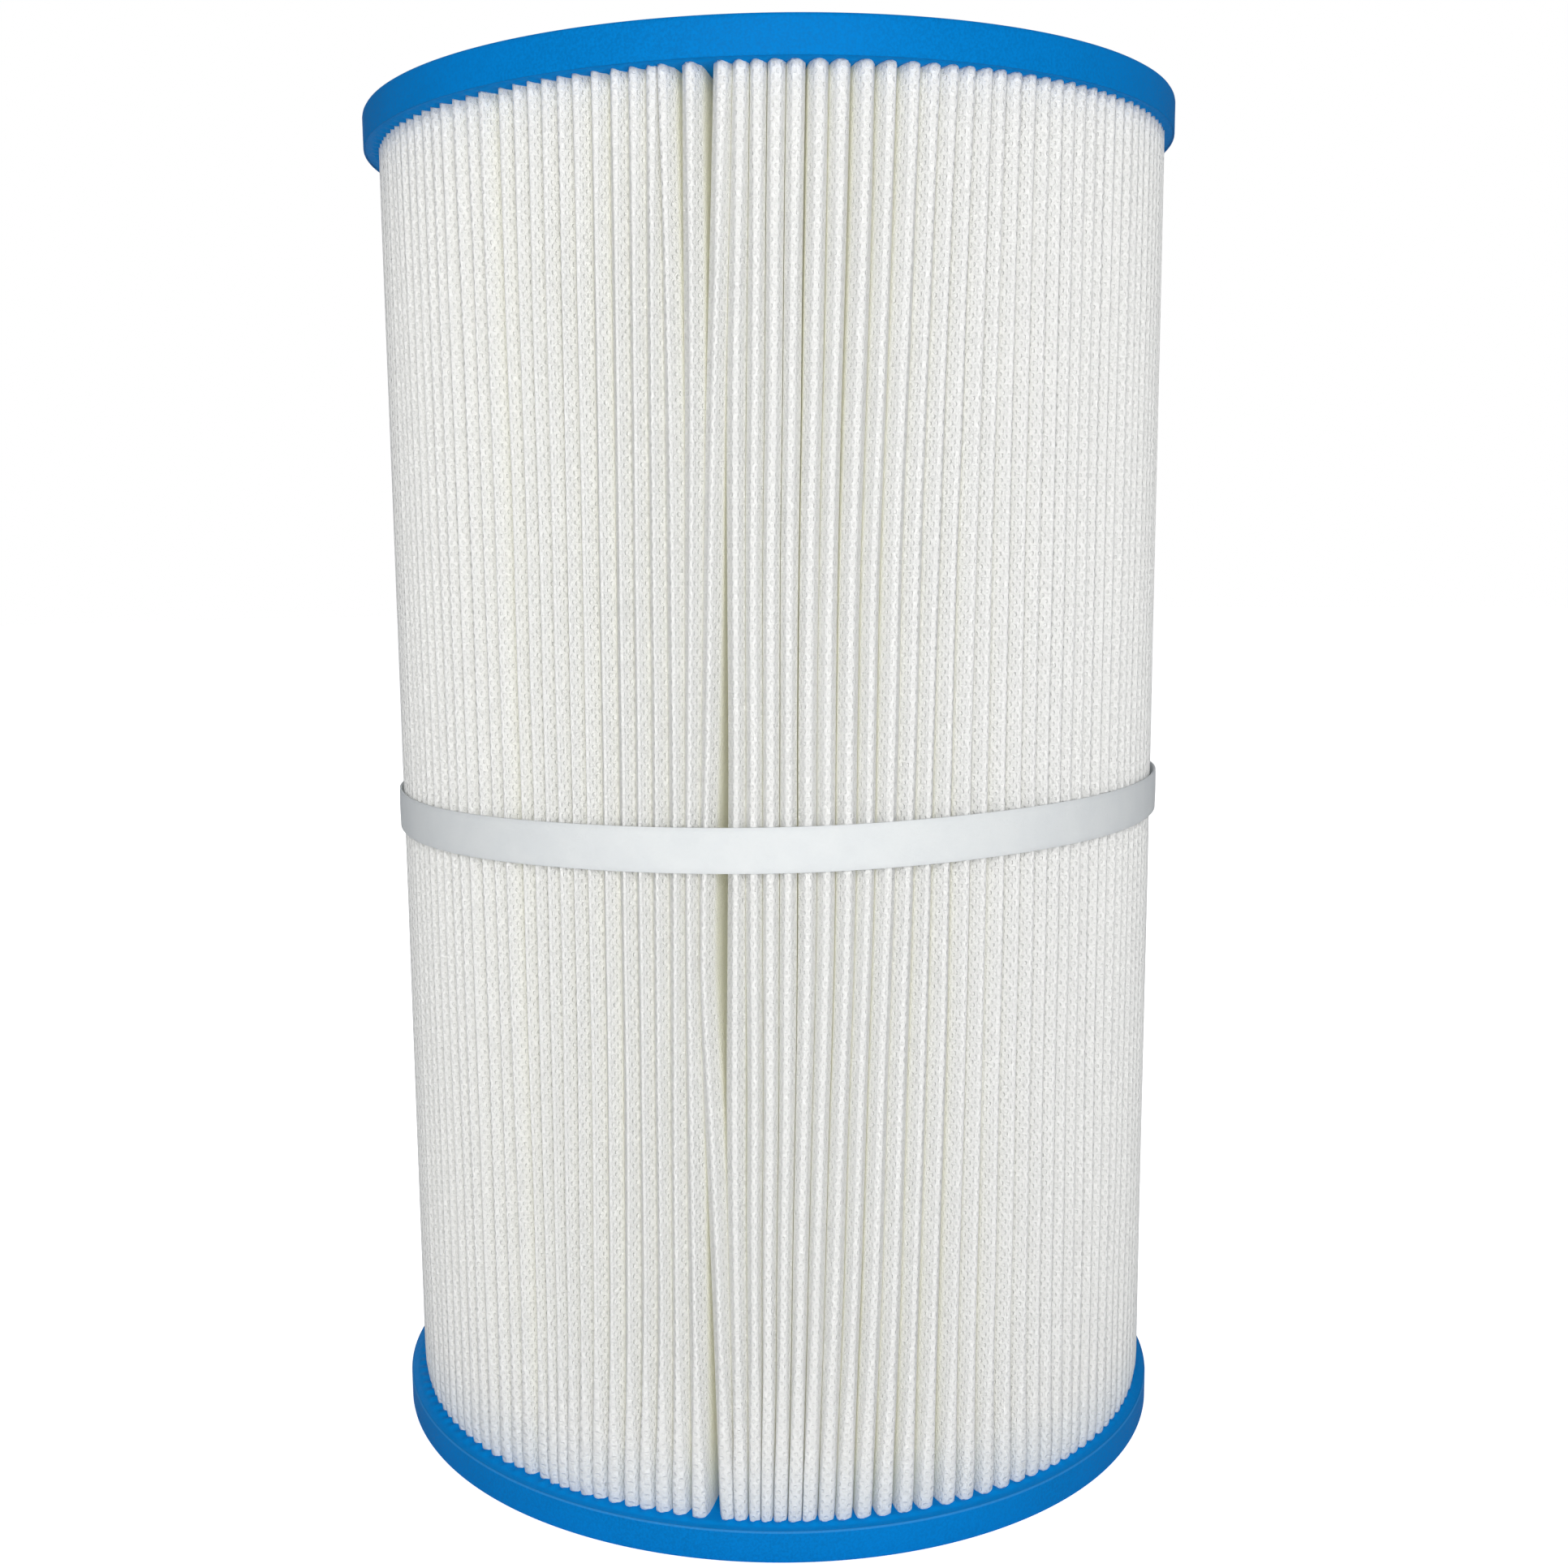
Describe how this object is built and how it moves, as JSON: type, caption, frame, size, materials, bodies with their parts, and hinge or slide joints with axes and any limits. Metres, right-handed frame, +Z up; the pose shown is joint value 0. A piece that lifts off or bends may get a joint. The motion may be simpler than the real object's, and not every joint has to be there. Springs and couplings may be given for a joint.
{
  "type": "pleated filter cartridge",
  "caption": "Upright cylindrical filter cartridge: pleated white fabric between two blue cast end caps, with a band round its middle and a lattice core lining an open through bore.",
  "frame": {"origin": "centre of the lower cap's end face, on the cartridge's axis", "axes": "+Z up along the cartridge's axis from the lower cap to the upper cap; -Y towards the side that is seen from the front, with the sheet's seam a little to its left"},
  "size_m": [0.227, 0.227, 0.3747],
  "materials": {
    "cap_resin": "matte",
    "filter_sheet": "matte",
    "seam_adhesive": "matte",
    "band_fabric": "matte",
    "core_plastic": "satin"
  },
  "bodies": {
    "root": {"bottom_end_cap": "cap_resin", "top_end_cap": "cap_resin", "pleated_media": "filter_sheet", "media_seam_strip": "seam_adhesive", "mid_band": "band_fabric", "core_section_1": "core_plastic", "core_section_2": "core_plastic", "core_section_3": "core_plastic", "core_section_4": "core_plastic", "core_section_5": "core_plastic"}
  },
  "joints": []
}
